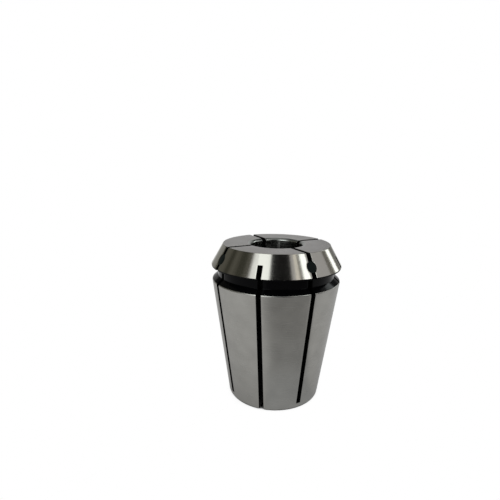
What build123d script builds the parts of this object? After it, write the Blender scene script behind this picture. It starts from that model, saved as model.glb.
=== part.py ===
from build123d import *
from math import cos, radians, sin, tan
import os

# A sealed ER collet: one ring of spring steel, turned, ground and slotted, with four rubber plugs.
# It stands on its back face. The origin is the middle of that face, and +Z points out of the nose.
# Lengths are in millimetres and angles in degrees. An azimuth is counted from -Y towards +X.

# Envelope
overall_length = 40.0
nose_diameter = 33.0

# Nose cone, which the clamping nut presses on
nose_cone_angle = 30.0
nose_cone_height = 5.1
nose_land = 0.35
nose_edge_chamfer = 0.2
face_rim_chamfer = 0.12

# Extraction groove behind the nose, and the shoulder below it
groove_depth = 1.6
groove_width = 3.5
groove_front_slope = 10.0
groove_back_angle = 51.0
groove_corner_chamfer = 0.2
shoulder_setback = 0.15
shoulder_radius = 0.5

# Ground body taper and its small end
body_taper_angle = 8.0
back_edge_chamfer = 0.3

# Bore that grips the tool
bore_diameter = 13.0
mouth_chamfer = 0.8
back_chamfer = 0.8

# Saw slots: one set opens at the nose, the other at the back, half a step further round
slots_per_end = 4
slot_width = 1.15
slot_azimuth = 31.6
front_slot_web = 1.35
back_slot_web = 2.4

# Rubber plugs, one in each slot that opens at the nose
plug_hole_diameter = 2.5
plug_setback = 2.9
plug_hole_floor = 1.0
plug_clearance = 0.02
plug_recess = 0.12

# Sizes that follow
nose_r = nose_diameter / 2
bore_r = bore_diameter / 2
face_r = nose_r - nose_cone_height * tan(radians(nose_cone_angle))
neck_r = nose_r - groove_depth
shoulder_r = nose_r - shoulder_setback
cone_foot_z = overall_length - nose_cone_height
nose_back_z = cone_foot_z - nose_land
neck_top_z = nose_back_z - groove_depth * tan(radians(groove_front_slope))
shoulder_z = nose_back_z - groove_width
neck_foot_z = shoulder_z + (shoulder_r - neck_r) / tan(radians(groove_back_angle))
back_r = shoulder_r - shoulder_z * tan(radians(body_taper_angle))
slot_step = 360.0 / slots_per_end
plug_z = overall_length - plug_setback
hole_floor_r = bore_r + plug_hole_floor
cut_over = 1.0

os.makedirs("parts", exist_ok=True)


def radial_plane(azimuth, height, radius):
    """A plane at this radius and height, whose normal points straight out from the axis."""
    out = Vector(sin(radians(azimuth)), -cos(radians(azimuth)), 0)
    along = Vector(cos(radians(azimuth)), sin(radians(azimuth)), 0)
    return Plane(origin=out * radius + Vector(0, 0, height), x_dir=along, z_dir=out)


# Collet body: turned as one ring
with BuildPart() as collet_body:
    with BuildSketch(Plane.XZ):
        with BuildLine():
            Polyline(
                (bore_r, 0),
                (back_r, 0),
                (shoulder_r, shoulder_z),
                (neck_r, neck_foot_z),
                (neck_r, neck_top_z),
                (nose_r, nose_back_z),
                (nose_r, cone_foot_z),
                (face_r, overall_length),
                (bore_r, overall_length),
                close=True,
            )
        make_face()
    revolve(axis=Axis.Z)

    # Rounded and broken edges, found by their height
    rings = collet_body.edges().filter_by(GeomType.CIRCLE)
    back_rings = rings.filter_by_position(Axis.Z, -0.01, 0.01).sort_by(SortBy.RADIUS)
    shoulder_ring = rings.filter_by_position(Axis.Z, shoulder_z - 0.01, shoulder_z + 0.01)
    neck_top_ring = rings.filter_by_position(Axis.Z, neck_top_z - 0.01, neck_top_z + 0.01)
    nose_edge_ring = rings.filter_by_position(Axis.Z, nose_back_z - 0.01, nose_back_z + 0.01)
    face_rings = rings.filter_by_position(Axis.Z, overall_length - 0.01, overall_length + 0.01)
    face_rings = face_rings.sort_by(SortBy.RADIUS)
    fillet(shoulder_ring, radius=shoulder_radius)
    chamfer(face_rings[0], length=mouth_chamfer)
    chamfer(neck_top_ring, length=groove_corner_chamfer)
    chamfer(nose_edge_ring, length=nose_edge_chamfer)
    chamfer(face_rings[-1], length=face_rim_chamfer)
    chamfer(back_rings[-1], length=back_edge_chamfer)
    chamfer(back_rings[0], length=back_chamfer)

    # Plug holes, drilled straight in from the nose cone and stopped short of the bore
    for number in range(slots_per_end):
        azimuth = slot_azimuth + number * slot_step
        with BuildSketch(radial_plane(azimuth, plug_z, hole_floor_r)):
            Circle(plug_hole_diameter / 2)
        extrude(amount=nose_r, mode=Mode.SUBTRACT)

    # Saw slots: a set open at the nose, then a set open at the back, half a step further round
    slot_reach = nose_r + cut_over
    for azimuth, low, high in (
        (slot_azimuth, front_slot_web, overall_length + cut_over),
        (slot_azimuth + slot_step / 2, -cut_over, overall_length - back_slot_web),
    ):
        with BuildSketch(Plane.XY.offset(low)):
            with PolarLocations(slot_reach / 2, slots_per_end, start_angle=azimuth - 90):
                Rectangle(slot_reach, slot_width)
        extrude(amount=high - low, mode=Mode.SUBTRACT)

collet_body.part.label = "collet_body"
export_step(collet_body.part, "parts/collet_body.step")


# Seal plugs: rubber pins trimmed to the slope of the nose, just below its surface
nose_slope = tan(radians(nose_cone_angle))
plug_face_r = face_r - plug_recess / cos(radians(nose_cone_angle))
plug_trim_z = plug_z - plug_hole_diameter
plug_trim_r = plug_face_r + (overall_length - plug_trim_z) * nose_slope
for number in range(slots_per_end):
    azimuth = slot_azimuth + number * slot_step
    with BuildPart() as seal_plug:
        with BuildSketch(radial_plane(azimuth, plug_z, hole_floor_r + plug_clearance)):
            Circle(plug_hole_diameter / 2 - plug_clearance)
        extrude(amount=nose_r)
        with BuildSketch(Plane.XZ):
            with BuildLine():
                Polyline(
                    (0, plug_trim_z),
                    (plug_trim_r, plug_trim_z),
                    (plug_face_r, overall_length),
                    (0, overall_length),
                    close=True,
                )
            make_face()
        revolve(axis=Axis.Z, mode=Mode.INTERSECT)
    seal_plug.part.label = f"seal_plug_{number + 1}"
    export_step(seal_plug.part, f"parts/seal_plug_{number + 1}.step")
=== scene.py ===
from math import cos, pi, radians, sin, tan

import bpy
import numpy as np
from mathutils import Matrix, Vector


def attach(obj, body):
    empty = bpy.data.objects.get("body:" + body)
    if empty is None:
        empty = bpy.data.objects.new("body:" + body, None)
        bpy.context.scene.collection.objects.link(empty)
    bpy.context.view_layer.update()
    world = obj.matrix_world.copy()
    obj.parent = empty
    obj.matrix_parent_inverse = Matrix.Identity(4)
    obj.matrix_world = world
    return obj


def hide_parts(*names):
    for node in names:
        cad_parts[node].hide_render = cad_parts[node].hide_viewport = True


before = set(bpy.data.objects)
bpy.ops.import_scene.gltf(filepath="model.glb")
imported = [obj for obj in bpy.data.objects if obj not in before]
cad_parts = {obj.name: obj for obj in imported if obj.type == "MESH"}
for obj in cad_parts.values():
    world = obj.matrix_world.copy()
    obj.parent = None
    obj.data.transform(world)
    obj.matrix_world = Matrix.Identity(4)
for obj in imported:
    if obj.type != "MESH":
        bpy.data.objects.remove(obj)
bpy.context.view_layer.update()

# Lengths are in millimetres up to the mesh or light that uses them, and MM turns them into metres.
# Azimuths are in degrees from -Y, the side that the camera sees, towards +X. ROUNDING_GAP is the slack,
# in millimetres, with which two lengths count as equal.
MM = 0.001
ROUNDING_GAP = 0.001

# Envelope of the collet
LENGTH = 40.0
NOSE_R = 16.5
FACE_R = 13.61
CONE_FOOT_Z = 34.9
NOSE_BACK_Z = 34.55
NECK_R = 14.9
NECK_TOP_Z = 34.268
NECK_FOOT_Z = 32.224
SHOULDER_R = 16.35
SHOULDER_Z = 31.05
BACK_R = 11.986
BORE_R = 6.5
NOSE_SLOPE = tan(radians(30.0))
BODY_SLOPE = tan(radians(8.0))
BACK_EDGE = 0.3
BACK_CHAMFER = 0.8

# The grinding of the body taper ends at this height, and the blackening begins
OXIDE_EDGE_Z = 31.15

# Mouth of the bore: how far its cone reaches out over the face, and how deep it is
MOUTH_REACH = 0.7
MOUTH_DEPTH = 0.4

# Roundings of the turned edges
BACK_ROUND = 0.2
SHOULDER_ROUND = 0.5
GROOVE_ROUND = 0.2
NOSE_BACK_ROUND = 0.06
CONE_FOOT_ROUND = 0.05
FACE_RIM_ROUND = 0.12
BORE_ROUND = 0.1
MOUTH_FOOT_ROUND = 0.4
MOUTH_TOP_ROUND = 0.6

# Saw slots and the plug holes
SLOT_WIDTH = 1.15
SLOT_AZIMUTH = 31.6
SLOTS = 8
SLOT_STEP = 360.0 / SLOTS
FRONT_SLOT_FLOOR_Z = 1.35
BACK_SLOT_END_Z = 37.6
PLUG_Z = 37.1
PLUG_HOLE_R = 1.25
HOLE_FLOOR_R = 7.5

# Edges along the slots: a brushed quarter round, and a very shallow roll-off beside it
EDGE_ROUND = 0.04
ROLL_OFF_DEPTH = 0.012
ROLL_OFF_REACH = 0.6
BORE_DROP_LIMIT = 0.08

# Seal plugs: clearance in the hole, depth below the cone, height of the dome and rounding of the rim
PLUG_CLEARANCE = 0.03
PLUG_SEAT = 0.02
PLUG_RECESS = 0.07
PLUG_DOME = 0.05
PLUG_RIM = 0.16


# Meshes

def rounded_profile(corners, steps=5):
    """Radius and height of the points along a profile whose corners are rounded.

    Each corner is (radius, height, rounding). With u and v the unit vectors to its two neighbours and
    half their angle h, the arc starts at rounding / tan(h) along u, ends as far along v, and turns
    about the point at rounding / sin(h) along u + v. Its points are at even angles.
    """
    spots = np.array([c[:2] for c in corners], float)
    points = [spots[:1]]
    for k in range(1, len(corners) - 1):
        spot, rounding = spots[k], corners[k][2]
        if rounding == 0:
            points.append(spot[None])
            continue
        u = spots[k - 1] - spot
        v = spots[k + 1] - spot
        u, v = u / np.linalg.norm(u), v / np.linalg.norm(v)
        half = np.arccos(np.clip(u @ v, -1, 1)) / 2
        middle = (u + v) / np.linalg.norm(u + v)
        centre = spot + middle * rounding / np.sin(half)
        first = (spot + u * rounding / np.tan(half) - centre) / rounding
        last = (spot + v * rounding / np.tan(half) - centre) / rounding
        turn = pi - 2 * half
        t = np.linspace(0, 1, steps + 1)[:, None]
        arc = (np.sin((1 - t) * turn) * first + np.sin(t * turn) * last) / np.sin(turn)
        points.append(centre + rounding * arc)
    points.append(spots[-1:])
    return np.vstack(points)


def edge_drop(distance):
    """How far the surface lies below its true form at a distance from a slot's edge.

    A quarter circle of EDGE_ROUND, plus ROLL_OFF_DEPTH times the square of what is left of ROLL_OFF_REACH.
    """
    inside = np.clip(EDGE_ROUND - distance, 0, EDGE_ROUND)
    quarter = EDGE_ROUND - np.sqrt(EDGE_ROUND ** 2 - inside ** 2)
    left = np.clip(1 - distance / ROLL_OFF_REACH, 0, 1)
    return quarter + ROLL_OFF_DEPTH * left ** 2


def mesh_object(name, verts, faces, materials, face_material=None, flat_above=35.0):
    """An object at the origin from arrays of points in millimetres and of faces, shaded smooth."""
    mesh = bpy.data.meshes.new(name)
    mesh.from_pydata((verts * MM).tolist(), [], faces.tolist() if hasattr(faces, "tolist") else faces)
    for material in materials:
        mesh.materials.append(material)
    if face_material is not None:
        mesh.polygons.foreach_set("material_index", face_material.astype(np.int32))
    mesh.shade_smooth()
    mesh.set_sharp_from_angle(angle=radians(flat_above))
    piece = bpy.data.objects.new(name, mesh)
    bpy.context.scene.collection.objects.link(piece)
    return piece


def weigh_normals(piece):
    """Lets the large faces set the shading at their edges, and keeps the result in the mesh."""
    weigher = piece.modifiers.new("weighted", "WEIGHTED_NORMAL")
    weigher.keep_sharp = True
    graph = bpy.context.evaluated_depsgraph_get()
    finished = bpy.data.meshes.new_from_object(piece.evaluated_get(graph))
    piece.modifiers.clear()
    piece.data = finished


def collet_steel(materials):
    """The slotted ring, as the outside of a block of cells that is bent round the axis.

    A point has three steps: a from the bore out, b round the axis and c up. Its height is level c, its
    radius lies between the inner and the outer profile at that height, and b is a distance from a slot's
    middle plane near a slot and an even share of the finger's angle elsewhere. Cells inside a saw slot
    are left out, and each face between a kept cell and a missing one becomes a face of the mesh.
    """
    outer = rounded_profile([
        (BACK_R - BACK_EDGE, 0.0, 0),
        (BACK_R + BACK_EDGE * BODY_SLOPE, BACK_EDGE, BACK_ROUND),
        (SHOULDER_R, SHOULDER_Z, SHOULDER_ROUND),
        (NECK_R, NECK_FOOT_Z, GROOVE_ROUND),
        (NECK_R, NECK_TOP_Z, GROOVE_ROUND),
        (NOSE_R, NOSE_BACK_Z, NOSE_BACK_ROUND),
        (NOSE_R, CONE_FOOT_Z, CONE_FOOT_ROUND),
        (FACE_R, LENGTH, FACE_RIM_ROUND),
        (BORE_R, LENGTH, 0),
    ])[:-1]
    inner = rounded_profile([
        (BACK_R, 0.0, 0),
        (BORE_R + BACK_CHAMFER, 0.0, BORE_ROUND),
        (BORE_R, BACK_CHAMFER, BORE_ROUND),
        (BORE_R, LENGTH - MOUTH_DEPTH, MOUTH_FOOT_ROUND),
        (BORE_R + MOUTH_REACH, LENGTH, MOUTH_TOP_ROUND),
        (FACE_R, LENGTH, 0),
    ], steps=9)[1:-1]

    # Distances from a slot's edge at which the surface has a column or a level
    quarter_steps, chord_steps = 5, 19
    quarter = EDGE_ROUND * (1 - np.cos(np.linspace(0, pi / 2, quarter_steps)))
    from_edge = np.concatenate([quarter, np.array([0.37, 0.63, 1.0]) * ROLL_OFF_REACH])
    chord_turns = np.linspace(-1, 1, chord_steps) * np.arccos(SLOT_WIDTH / 2 / PLUG_HOLE_R)
    levels = np.concatenate([
        outer[:, 1],
        inner[:, 1],
        BACK_SLOT_END_Z + from_edge,
        FRONT_SLOT_FLOOR_Z - from_edge,
        PLUG_Z + PLUG_HOLE_R * np.sin(chord_turns),
        np.linspace(0, SHOULDER_Z, 11)[1:-1],
        [OXIDE_EDGE_Z],
    ])
    levels = np.unique(np.round(levels, 3))
    top = len(levels) - 1

    # Columns: from the edge of one slot over its finger to the edge of the next, eight times round
    middles = 13
    near = len(from_edge)
    share = np.linspace(0, 1, middles + 2)[1:-1]
    columns = 2 * near + middles
    slot_azimuths = SLOT_AZIMUTH + SLOT_STEP * np.arange(SLOTS)
    opens_at_nose = np.arange(SLOTS) % 2 == 0

    # Radial steps: the bore, the floor of the plug holes, a ring past it, a middle one, and two at the skin
    past_floor, skin = 0.4, 0.3
    r_in = np.interp(levels, inner[:, 1], inner[:, 0])
    r_out = np.interp(levels, outer[:, 1], outer[:, 0])
    chord = np.sqrt(np.clip(PLUG_HOLE_R ** 2 - (levels - PLUG_Z) ** 2, 0, None))
    at_hole = chord > SLOT_WIDTH / 2 + ROUNDING_GAP
    r_floor = np.maximum(HOLE_FLOOR_R, r_in + skin)
    r_lines = np.stack([
        r_in,
        r_floor,
        np.where(at_hole, r_floor, r_floor + past_floor),
        (r_floor + past_floor + r_out - skin) / 2,
        r_out - skin,
        r_out,
    ])
    beyond_floor = np.array([False, False, True, True, True, True])

    def half_gap(k):
        """Half the gap at slot k, for each radial step and level."""
        wide = beyond_floor[:, None] & at_hole[None] & opens_at_nose[k]
        return np.where(wide, chord[None], SLOT_WIDTH / 2)

    def slot_distance(k, aside):
        """Distance in the surface from the open part of slot k, for points aside from its middle plane."""
        across = np.clip(np.abs(aside) - SLOT_WIDTH / 2, 0, None)
        if opens_at_nose[k]:
            along = np.clip(FRONT_SLOT_FLOOR_Z - levels, 0, None)
            hole = np.clip(np.hypot(aside, levels - PLUG_Z) - PLUG_HOLE_R, 0, None)
            return np.minimum(np.hypot(across, along), hole)
        along = np.clip(levels - BACK_SLOT_END_Z, 0, None)
        return np.hypot(across, along)

    angle = np.zeros((len(r_lines), SLOTS * columns, len(levels)))
    distance = np.full(angle.shape, ROLL_OFF_REACH)
    for k in range(SLOTS):
        start = k * columns
        after = (k + 1) % SLOTS
        here, there = half_gap(k), half_gap(after)
        for j in range(near):
            rising = start + j
            falling = start + columns - 1 - j
            aside = here + from_edge[j]
            angle[:, rising] = radians(slot_azimuths[k]) + np.arcsin(aside / r_lines)
            distance[:, rising] = slot_distance(k, aside)
            aside = there + from_edge[j]
            angle[:, falling] = radians(slot_azimuths[k] + SLOT_STEP) - np.arcsin(aside / r_lines)
            distance[:, falling] = slot_distance(after, aside)
        low = angle[:, start + near - 1][:, None]
        high = angle[:, start + columns - near][:, None]
        angle[:, start + near:start + near + middles] = low + (high - low) * share[None, :, None]

    drop = edge_drop(distance)
    radius = np.repeat(r_lines[:, None], SLOTS * columns, axis=1)
    radius[-1] -= drop[-1]
    radius[0] += np.minimum(drop[0], BORE_DROP_LIMIT)
    height = np.broadcast_to(levels, angle.shape)
    top_share = np.clip(1 - (LENGTH - levels) / ROLL_OFF_REACH, 0, 1)
    foot_share = np.clip(1 - levels / ROLL_OFF_REACH, 0, 1)
    height = height - drop[:, :, -1:] * top_share + drop[:, :, :1] * foot_share

    verts = np.stack([radius * np.sin(angle), -radius * np.cos(angle), height], axis=-1)

    # Which cells are steel
    middle_z = (levels[1:] + levels[:-1]) / 2
    solid = np.ones((len(r_lines) - 1, SLOTS * columns, top), bool)
    for k in range(SLOTS):
        gap = (k * columns - 1) % (SLOTS * columns)
        solid[:, gap] = middle_z < FRONT_SLOT_FLOOR_Z if opens_at_nose[k] else middle_z > BACK_SLOT_END_Z

    index = np.arange(verts[..., 0].size).reshape(verts.shape[:3])
    around = np.roll(index, -1, axis=1)
    none_a = np.zeros((1,) + solid.shape[1:], bool)
    none_c = np.zeros(solid.shape[:2] + (1,), bool)
    quads, finish = [], []
    NOSE, FACE, TAPER, OXIDE, BORE, SLOT = range(6)

    def add(where, corners, kind):
        quads.append(np.stack([c[where] for c in corners], axis=-1))
        finish.append(np.broadcast_to(kind, where.shape)[where])

    outward = solid & ~np.concatenate([solid[1:], none_a])
    inward = solid & ~np.concatenate([none_a, solid[:-1]])
    by_level = np.select(
        [middle_z > CONE_FOOT_Z, middle_z > OXIDE_EDGE_Z], [NOSE, OXIDE], TAPER)
    lo, hi = index[:, :, :-1], index[:, :, 1:]
    lo_next, hi_next = around[:, :, :-1], around[:, :, 1:]
    edge_columns = np.maximum(distance, np.roll(distance, -1, axis=1))[1:]
    in_round = np.maximum(edge_columns[:, :, :-1], edge_columns[:, :, 1:]) < EDGE_ROUND + ROUNDING_GAP
    add(outward, (lo[1:], lo_next[1:], hi_next[1:], hi[1:]), np.where(in_round, SLOT, by_level))
    add(inward, (lo[:-1], hi[:-1], hi_next[:-1], lo_next[:-1]), BORE)
    after_b = solid & ~np.roll(solid, -1, axis=1)
    before_b = solid & ~np.roll(solid, 1, axis=1)
    add(after_b, (lo_next[:-1], hi_next[:-1], hi_next[1:], lo_next[1:]), SLOT)
    add(before_b, (lo[:-1], lo[1:], hi[1:], hi[:-1]), SLOT)
    upward = solid & ~np.concatenate([solid[:, :, 1:], none_c], axis=2)
    downward = solid & ~np.concatenate([none_c, solid[:, :, :-1]], axis=2)
    up_kind = np.where(np.arange(top) == top - 1, FACE, SLOT)
    add(upward, (hi[:-1], hi[1:], hi_next[1:], hi_next[:-1]), up_kind[None, None])
    down_kind = np.where(np.arange(top) == 0, FACE, SLOT)
    add(downward, (lo[:-1], lo_next[:-1], lo_next[1:], lo[1:]), down_kind[None, None])

    faces = np.vstack(quads)
    kinds = np.concatenate(finish)
    used, faces = np.unique(faces, return_inverse=True)
    faces = faces.reshape(-1, 4)
    return mesh_object("collet_steel", verts.reshape(-1, 3)[used], faces, materials, kinds)


def seal_plug(name, azimuth, material):
    """A rubber pin as rings about its own axis, from the middle of its flat end to the middle of its dome.

    Along the pin the distance from the collet's axis is that of the nose cone at the point's height, less
    the recess, plus a dome that is a parabola over the ring's radius, less a quarter circle at the rim.
    """
    pin_r = PLUG_HOLE_R - PLUG_CLEARANCE
    sides, rim_steps, dome_steps = 48, 6, 7
    turn = np.linspace(0, 2 * pi, sides + 1)[:-1]
    rim_r = pin_r - PLUG_RIM * (1 - np.cos(np.linspace(0, pi / 2, rim_steps)))
    end_r = np.concatenate([rim_r, np.linspace(pin_r - PLUG_RIM, 0, dome_steps)[1:-1]])

    share = np.array([0.0, 0.4, 0.8])
    ring_r = np.concatenate([np.full(len(share), pin_r), end_r])[:, None]
    aside = ring_r * np.cos(turn)
    up = ring_r * np.sin(turn)
    cone_r = FACE_R + (LENGTH - PLUG_Z - up) * NOSE_SLOPE
    bulge = PLUG_DOME * (1 - (ring_r / pin_r) ** 2)
    sunk = np.clip(ring_r - (pin_r - PLUG_RIM), 0, PLUG_RIM)
    out = np.sqrt(cone_r ** 2 - aside ** 2) - PLUG_RECESS + bulge
    out -= PLUG_RIM - np.sqrt(PLUG_RIM ** 2 - sunk ** 2)
    floor = HOLE_FLOOR_R + PLUG_SEAT
    out[:len(share)] = floor + (out[:len(share)] - floor) * share[:, None]
    rings, count = out.shape
    tip_out = FACE_R + (LENGTH - PLUG_Z) * NOSE_SLOPE - PLUG_RECESS + PLUG_DOME
    local = np.vstack([
        np.stack([out, aside, up], axis=-1).reshape(-1, 3),
        [[floor, 0, 0], [tip_out, 0, 0]],
    ])
    az = radians(azimuth)
    outward = np.array([sin(az), -cos(az), 0])
    along = np.array([cos(az), sin(az), 0])
    verts = local[:, :1] * outward + local[:, 1:2] * along + local[:, 2:] * np.array([0, 0, 1.0])
    verts[:, 2] += PLUG_Z
    grid = np.arange(rings * count).reshape(rings, count)
    after = np.roll(grid, -1, axis=1)
    quads = np.stack([grid[:-1], after[:-1], after[1:], grid[1:]], axis=-1).reshape(-1, 4)
    floor_fan = np.stack([after[0], grid[0], np.full(count, rings * count)], axis=-1)
    tip_fan = np.stack([grid[-1], after[-1], np.full(count, rings * count + 1)], axis=-1)
    faces = quads.tolist() + floor_fan.tolist() + tip_fan.tolist()
    return mesh_object(name, verts, faces, [material], flat_above=60.0)


# Materials

# Cells of the marks' noise in a metre across the collet. Along its axis there are many more, so the marks
# are long lines round it.
MARKS_AROUND = 150.0
BUMP_STRENGTH = 0.3


def new_material(name):
    """A material with an empty node tree."""
    material = bpy.data.materials.new(name)
    material.use_nodes = True
    material.node_tree.nodes.clear()
    return material


def node(tree, kind, inputs=None, **settings):
    """A node of a kind, with its settings and the values or links of its inputs."""
    made = tree.nodes.new(kind)
    for key, value in settings.items():
        setattr(made, key, value)
    for key, value in (inputs or {}).items():
        if isinstance(value, bpy.types.NodeSocket):
            tree.links.new(value, made.inputs[key])
        else:
            made.inputs[key].default_value = value
    return made


def group_of(name, inputs, outputs):
    """An empty shader node group with named sockets, its input node and its output node."""
    group = bpy.data.node_groups.new(name, "ShaderNodeTree")
    for socket, kind in inputs:
        group.interface.new_socket(name=socket, in_out="INPUT", socket_type=kind)
    for socket, kind in outputs:
        group.interface.new_socket(name=socket, in_out="OUTPUT", socket_type=kind)
    return group, group.nodes.new("NodeGroupInput"), group.nodes.new("NodeGroupOutput")


def grinding_marks():
    """Grinding marks: a noise drawn out into fine lines round the axis, and a soft cloud over the colour."""
    group, given, made = group_of(
        "grinding_marks",
        [("Colour", "NodeSocketColor"), ("Roughness", "NodeSocketFloat"), ("Around", "NodeSocketFloat"),
         ("Along", "NodeSocketFloat"), ("Depth", "NodeSocketFloat"), ("Mottle", "NodeSocketFloat")],
        [("Colour", "NodeSocketColor"), ("Roughness", "NodeSocketFloat"), ("Normal", "NodeSocketVector")])
    place = node(group, "ShaderNodeTexCoord")
    density = node(group, "ShaderNodeCombineXYZ", {
        "X": given.outputs["Around"], "Y": given.outputs["Around"], "Z": given.outputs["Along"]})
    drawn = node(group, "ShaderNodeVectorMath", {
        0: place.outputs["Object"], 1: density.outputs["Vector"]}, operation="MULTIPLY")
    lines = node(group, "ShaderNodeTexNoise", {
        "Vector": drawn.outputs["Vector"], "Scale": 1.0, "Detail": 2.0})
    cloud = node(group, "ShaderNodeTexNoise", {
        "Vector": place.outputs["Object"], "Scale": 260.0, "Detail": 3.0})
    swing = node(group, "ShaderNodeMapRange", {
        "Value": cloud.outputs["Fac"], "From Min": 0.3, "From Max": 0.7, "To Min": -1.0, "To Max": 1.0})
    shade = node(group, "ShaderNodeMath", {
        0: swing.outputs["Result"], 1: given.outputs["Mottle"], 2: 1.0}, operation="MULTIPLY_ADD")
    tinted = node(group, "ShaderNodeVectorMath", {
        0: given.outputs["Colour"], "Scale": shade.outputs["Value"]}, operation="SCALE")
    spread = node(group, "ShaderNodeMapRange", {
        "Value": lines.outputs["Fac"], "From Min": 0.25, "From Max": 0.75, "To Min": 0.85, "To Max": 1.15})
    rough = node(group, "ShaderNodeMath", {
        0: given.outputs["Roughness"], 1: spread.outputs["Result"]}, operation="MULTIPLY")
    bump = node(group, "ShaderNodeBump", {
        "Height": lines.outputs["Fac"], "Strength": BUMP_STRENGTH, "Distance": given.outputs["Depth"]})
    for name, value in (("Colour", tinted.outputs["Vector"]), ("Roughness", rough.outputs["Value"]),
                        ("Normal", bump.outputs["Normal"])):
        group.links.new(value, made.inputs[name])
    return group


def ground_steel(name, marks, colour, rim, roughness, anisotropy, along, depth, mottle):
    """Ground steel, with its reflection drawn out across the grinding marks, and its colour at the rim.

    along is how many cells of the marks' noise a metre of height has, depth is the marks' depth, and
    mottle is the share by which the cloud lightens and darkens the colour.
    """
    material = new_material(name)
    tree = material.node_tree
    ground = node(tree, "ShaderNodeGroup", node_tree=marks)
    for socket, value in (("Colour", (*colour, 1)), ("Roughness", roughness), ("Around", MARKS_AROUND),
                          ("Along", along), ("Depth", depth * MM), ("Mottle", mottle)):
        ground.inputs[socket].default_value = value
    shader = node(tree, "ShaderNodeBsdfPrincipled", {
        "Base Color": ground.outputs["Colour"], "Metallic": 1.0, "Roughness": ground.outputs["Roughness"],
        "Specular Tint": (*rim, 1), "Anisotropic": anisotropy, "Normal": ground.outputs["Normal"]})
    if anisotropy:
        around = node(tree, "ShaderNodeTangent", direction_type="RADIAL", axis="Z")
        tree.links.new(around.outputs["Tangent"], shader.inputs["Tangent"])
    out = node(tree, "ShaderNodeOutputMaterial")
    tree.links.new(shader.outputs["BSDF"], out.inputs["Surface"])
    return material


def dark_skin(name, dark, light, grain, roughness, ior, relief):
    """A dark finish: two close shades over a noise, whose grain also lifts the surface a little."""
    material = new_material(name)
    tree = material.node_tree
    place = node(tree, "ShaderNodeTexCoord")
    cloud = node(tree, "ShaderNodeTexNoise", {
        "Vector": place.outputs["Object"], "Scale": grain, "Detail": 3.0})
    colour = node(tree, "ShaderNodeMix", {
        "Factor": cloud.outputs["Fac"], 6: (*dark, 1), 7: (*light, 1)}, data_type="RGBA")
    bump = node(tree, "ShaderNodeBump", {
        "Height": cloud.outputs["Fac"], "Strength": BUMP_STRENGTH, "Distance": relief * MM})
    shader = node(tree, "ShaderNodeBsdfPrincipled", {
        "Base Color": colour.outputs[2], "Roughness": roughness, "IOR": ior,
        "Normal": bump.outputs["Normal"]})
    out = node(tree, "ShaderNodeOutputMaterial")
    tree.links.new(shader.outputs["BSDF"], out.inputs["Surface"])
    return material


marks = grinding_marks()
nose_steel = ground_steel(
    "nose_steel", marks, colour=(0.275, 0.265, 0.245), rim=(0.75, 0.75, 0.72),
    roughness=0.11, anisotropy=0.6, along=9000, depth=0.002, mottle=0.02)
face_steel = ground_steel(
    "face_steel", marks, colour=(0.31, 0.30, 0.29), rim=(0.6, 0.6, 0.6),
    roughness=0.3, anisotropy=0.0, along=3000, depth=0.004, mottle=0.03)
taper_steel = ground_steel(
    "taper_steel", marks, colour=(0.281, 0.277, 0.260), rim=(0.75, 0.75, 0.75),
    roughness=0.3, anisotropy=0.5, along=5000, depth=0.004, mottle=0.07)
bore_steel = ground_steel(
    "bore_steel", marks, colour=(0.29, 0.30, 0.285), rim=(0.6, 0.6, 0.6),
    roughness=0.22, anisotropy=0.0, along=3000, depth=0.002, mottle=0.03)
black_oxide = dark_skin(
    "black_oxide", dark=(0.0004, 0.0004, 0.0006), light=(0.0016, 0.0016, 0.002),
    grain=900.0, roughness=0.13, ior=1.12, relief=0.002)
slot_black = dark_skin(
    "slot_black", dark=(0.0004, 0.0004, 0.0004), light=(0.0016, 0.0016, 0.0016),
    grain=900.0, roughness=0.6, ior=1.1, relief=0.01)
plug_rubber = dark_skin(
    "plug_rubber", dark=(0.003, 0.005, 0.0045), light=(0.006, 0.009, 0.008),
    grain=2500.0, roughness=0.5, ior=1.1, relief=0.02)

collet = collet_steel([nose_steel, face_steel, taper_steel, black_oxide, bore_steel, slot_black])
weigh_normals(collet)
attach(collet, "root")
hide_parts("collet_body")

for number in range(SLOTS // 2):
    plug = seal_plug(f"rubber_plug_{number + 1}", SLOT_AZIMUTH + 2 * SLOT_STEP * number, plug_rubber)
    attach(plug, "root")
    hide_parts(f"seal_plug_{number + 1}")


# Camera

# Camera solved from the photo's edges: place, then turn, tilt and roll in radians, then the lens in pixels
# of the photo. It sees what lies between NEAREST and FURTHEST.
CAMERA_Y = -95.522
CAMERA_Z = 58.260
CAMERA_YAW = -0.0371
CAMERA_PITCH = 0.2244
CAMERA_ROLL = 0.0175
FOCAL_PIXELS = 381.18
MIDDLE_X_PIXEL = 262.57
MIDDLE_Y_PIXEL = 255.98
PHOTO_PIXELS = 500
SENSOR_MM = 36.0
NEAREST = 5.0
FURTHEST = 20000.0

forward = Vector((
    sin(CAMERA_YAW) * cos(CAMERA_PITCH),
    cos(CAMERA_YAW) * cos(CAMERA_PITCH),
    -sin(CAMERA_PITCH),
))
level_right = Vector((cos(CAMERA_YAW), -sin(CAMERA_YAW), 0))
level_up = level_right.cross(forward)
right = level_right * cos(CAMERA_ROLL) + level_up * sin(CAMERA_ROLL)
up = level_up * cos(CAMERA_ROLL) - level_right * sin(CAMERA_ROLL)
lens = bpy.data.cameras.new("camera")
lens.sensor_width = SENSOR_MM
lens.lens = FOCAL_PIXELS / PHOTO_PIXELS * SENSOR_MM
lens.shift_x = (PHOTO_PIXELS / 2 - MIDDLE_X_PIXEL) / PHOTO_PIXELS
lens.shift_y = (MIDDLE_Y_PIXEL - PHOTO_PIXELS / 2) / PHOTO_PIXELS
lens.clip_start = NEAREST * MM
lens.clip_end = FURTHEST * MM
camera = bpy.data.objects.new("camera", lens)
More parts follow.
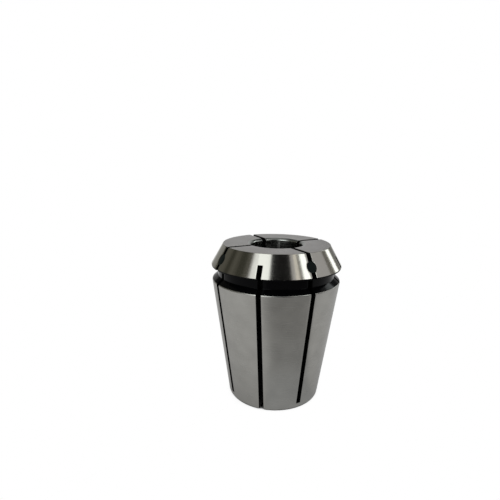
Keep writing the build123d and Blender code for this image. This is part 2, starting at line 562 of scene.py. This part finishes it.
camera.matrix_world = Matrix((
    (right.x, up.x, -forward.x, 0.0),
    (right.y, up.y, -forward.y, CAMERA_Y * MM),
    (right.z, up.z, -forward.z, CAMERA_Z * MM),
    (0, 0, 0, 1),
))
bpy.context.scene.collection.objects.link(camera)
bpy.context.scene.camera = camera


# Light

# The cards and lamps stand round the middle of the nose. NEARER brings a strip before the wall behind it,
# and CARD_LIFT holds a card just above the floor.
NOSE_MIDDLE_Z = 37.0
CARD_REACH = 500.0
NEARER = 10.0
SOFTBOX_REACH = 400.0
CARD_COLUMNS = 17
CARD_ROWS = 9
CARD_LIFT = 0.5

# The floor, how far its painted shade under the collet reaches, between which shares of open sky it fades,
# and the power that softens it in reflections
FLOOR_HALF = 3000.0
SHADE_REACH = 60.0
SHADE_BLACK = 0.2
SHADE_WHITE = 0.46
MIRRORED_POWER = 0.6

DARK = (0.02, 0.02, 0.02)
DIM = (0.1, 0.1, 0.1)
GREY = (0.5, 0.5, 0.5)
OLIVE = (0.19, 0.185, 0.15)
OLIVE_SHADE = (0.105, 0.105, 0.08)
OLIVE_LIGHT = (0.24, 0.235, 0.195)
COOL = (0.93, 1.0, 0.985)


def seen_as_background(tree):
    """1 for a camera, glossy or transmission ray, else 0."""
    path = node(tree, "ShaderNodeLightPath")
    seen = node(tree, "ShaderNodeMath", {
        0: path.outputs["Is Camera Ray"], 1: path.outputs["Is Glossy Ray"]}, operation="MAXIMUM")
    passed = node(tree, "ShaderNodeMath", {
        0: seen.outputs[0], 1: path.outputs["Is Transmission Ray"]}, operation="MAXIMUM")
    return passed.outputs[0]


def white_world(fill):
    """White where it is seen, and a plain soft fill where it lights."""
    world = bpy.data.worlds.new("studio")
    bpy.context.scene.world = world
    world.use_nodes = True
    tree = world.node_tree
    tree.nodes.clear()
    strength = node(tree, "ShaderNodeMapRange", {
        "Value": seen_as_background(tree), "To Min": fill, "To Max": 1.0})
    sky = node(tree, "ShaderNodeBackground", {"Color": (1, 1, 1, 1), "Strength": strength.outputs["Result"]})
    out = node(tree, "ShaderNodeOutputWorld")
    tree.links.new(sky.outputs["Background"], out.inputs["Surface"])


def white_floor():
    """A wide white sheet. What is seen of it is white, with a painted shade where the collet hides the light
    from it.
    """
    verts = FLOOR_HALF * np.array([(-1, -1, 0), (1, -1, 0), (1, 1, 0), (-1, 1, 0)])
    material = new_material("white_sheet")
    tree = material.node_tree
    path = node(tree, "ShaderNodeLightPath")
    # Painted shade: an occlusion reading dims the floor's glow near the collet, for the camera and for
    # reflections
    painted_shade = node(tree, "ShaderNodeAmbientOcclusion", {"Distance": SHADE_REACH * MM}, samples=16)
    seen = node(tree, "ShaderNodeMapRange", {
        "Value": painted_shade.outputs["AO"], "From Min": SHADE_BLACK, "From Max": SHADE_WHITE})
    mirrored = node(tree, "ShaderNodeMath", {
        0: painted_shade.outputs["AO"], 1: MIRRORED_POWER}, operation="POWER")
    strength = node(tree, "ShaderNodeMix", {
        "Factor": path.outputs["Is Glossy Ray"], 2: seen.outputs["Result"], 3: mirrored.outputs["Value"]})
    sheet = node(tree, "ShaderNodeBsdfDiffuse", {"Color": (0.8, 0.8, 0.8, 1)})
    glow = node(tree, "ShaderNodeEmission", {"Color": (1, 1, 1, 1), "Strength": strength.outputs[0]})
    mixed = node(tree, "ShaderNodeMixShader", {
        0: seen_as_background(tree), 1: sheet.outputs[0], 2: glow.outputs[0]})
    out = node(tree, "ShaderNodeOutputMaterial")
    tree.links.new(mixed.outputs[0], out.inputs["Surface"])
    floor = mesh_object("floor", verts, [(0, 1, 2, 3)], [material])


def card(name, points, colour):
    """A glowing sheet through a grid of points that only reflections see: a painted reflection, which lights
    nothing.
    """
    material = new_material(name)
    tree = material.node_tree
    face = node(tree, "ShaderNodeEmission", {"Color": (*colour, 1), "Strength": 1.0})
    out = node(tree, "ShaderNodeOutputMaterial")
    tree.links.new(face.outputs[0], out.inputs["Surface"])
    index = np.arange(points[..., 0].size).reshape(points.shape[:2])
    quads = np.stack([index[:-1, :-1], index[1:, :-1], index[1:, 1:], index[:-1, 1:]], axis=-1).reshape(-1, 4)
    sheet = mesh_object(name, points.reshape(-1, 3), quads, [material])
    sheet.visible_camera = False
    sheet.visible_diffuse = False
    sheet.visible_transmission = False
    sheet.visible_shadow = False


def wall_card(name, azimuths, elevations, colour, nearer=0.0):
    """A part of a sphere about the nose, between two azimuths and two elevations."""
    az = np.radians(np.linspace(*azimuths, CARD_COLUMNS))[:, None]
    el = np.radians(np.linspace(*elevations, CARD_ROWS))[None]
    x = np.sin(az) * np.cos(el)
    y = -np.cos(az) * np.cos(el)
    z = np.sin(el) + 0 * az
    points = np.stack([x, y, z], axis=-1) * (CARD_REACH - nearer) + np.array([0, 0, NOSE_MIDDLE_Z])
    card(name, points, colour)


def floor_card(name, azimuths, radii, colour):
    """A sector of a ring that lies on the floor round the collet."""
    az = np.radians(np.linspace(*azimuths, CARD_COLUMNS))[:, None]
    r = np.linspace(*radii, CARD_ROWS)[None]
    card(name, np.stack([r * np.sin(az), -r * np.cos(az), CARD_LIFT + 0 * az * r], axis=-1), colour)


def softbox(name, azimuths, elevations, radiance):
    """An area lamp that faces the nose and fills a span of azimuth and elevation with its radiance."""
    az = radians(sum(azimuths) / 2)
    el = radians(sum(elevations) / 2)
    half_az = radians(azimuths[1] - azimuths[0]) / 2
    half_el = radians(elevations[1] - elevations[0]) / 2
    width = 2 * SOFTBOX_REACH * tan(half_az) * cos(el)
    height = 2 * SOFTBOX_REACH * tan(half_el)
    lamp = bpy.data.lights.new(name, "AREA")
    lamp.shape = "RECTANGLE"
    lamp.color = COOL
    lamp.size = width * MM
    lamp.size_y = height * MM
    lamp.energy = radiance * pi * width * height * MM * MM
    toward = Vector((sin(az) * cos(el), -cos(az) * cos(el), sin(el)))
    box = bpy.data.objects.new(name, lamp)
    box.location = (toward * SOFTBOX_REACH + Vector((0, 0, NOSE_MIDDLE_Z))) * MM
    box.rotation_euler = toward.to_track_quat("Z", "Y").to_euler()
    box.visible_camera = False
    bpy.context.scene.collection.objects.link(box)


white_world(fill=0.7)
white_floor()

# Painted reflections of dark, dim and grey stretches of the room, which the nose, the groove and the face
# mirror
wall_card("dark_room_low", (-6, 85), (-5, 25), DARK)
wall_card("dark_room_high", (-11, 31), (25, 62), DARK)
wall_card("dark_room_below", (-100, 72), (-26, -5), DARK)
wall_card("dim_room_behind", (75, 285), (42, 62), DIM)
wall_card("dark_side_right", (133, 162), (12, 42), DIM)
wall_card("dark_side_left", (-162, -131), (14, 42), DIM)
wall_card("grey_ceiling", (-180, 180), (62, 89.9), GREY)

# Painted reflection of the olive wall on the left, with its darker and lighter strips
wall_card("olive_wall", (-131, -53.5), (-5, 50), OLIVE)
wall_card("olive_shade_left", (-102, -94), (-5, 50), OLIVE_SHADE, NEARER)
wall_card("olive_shade_right", (-78, -64), (-5, 50), OLIVE_SHADE, NEARER)
wall_card("olive_light", (-120, -106), (-5, 50), OLIVE_LIGHT, NEARER)
wall_card("olive_light_high", (-90, -84), (-5, 50), OLIVE_LIGHT, NEARER)

# Painted reflections of grey and light stretches on the left, on the right and behind; the light strip and
# the white wall on the right glow brighter than white, as painted highlights
wall_card("grey_wall_left", (-160, -131), (-15, 14), (0.63, 0.625, 0.61))
wall_card("light_strip", (38.5, 46), (34, 49), (1.95, 1.88, 1.7))
wall_card("grey_strip", (46, 52), (25, 60), (0.45, 0.44, 0.40))
wall_card("grey_wall", (108, 119), (5, 28), (0.38, 0.37, 0.33))
wall_card("grey_wall_far", (134, 152), (-12, 12), (0.42, 0.42, 0.41))
wall_card("grey_wall_behind", (152, 172), (-15, 12), GREY)
wall_card("white_wall_right", (138, 165), (-31, -16), (1.3, 1.3, 1.3))

# Painted shadow on the floor before the collet, as grey sheets that only reflections see, which the middle of
# the body taper mirrors
floor_card("shaded_floor_near", (-10, 62), (12, 24), (0.66, 0.67, 0.68))
floor_card("shaded_floor_middle", (-7, 62), (24, 40), (0.55, 0.55, 0.55))
floor_card("shaded_floor_far", (-15, 62), (40, 160), (0.48, 0.475, 0.47))

softbox("left_softbox", (-49.5, -37), (10, 60), 1.55)
softbox("left_softbox_bright", (-36, -13.5), (10, 60), 2.2)
softbox("right_softbox", (53, 66), (20, 52), 3.2)
softbox("far_right_softbox", (121, 132), (5, 35), 3.6)

bpy.context.scene.view_settings.view_transform = "Standard"
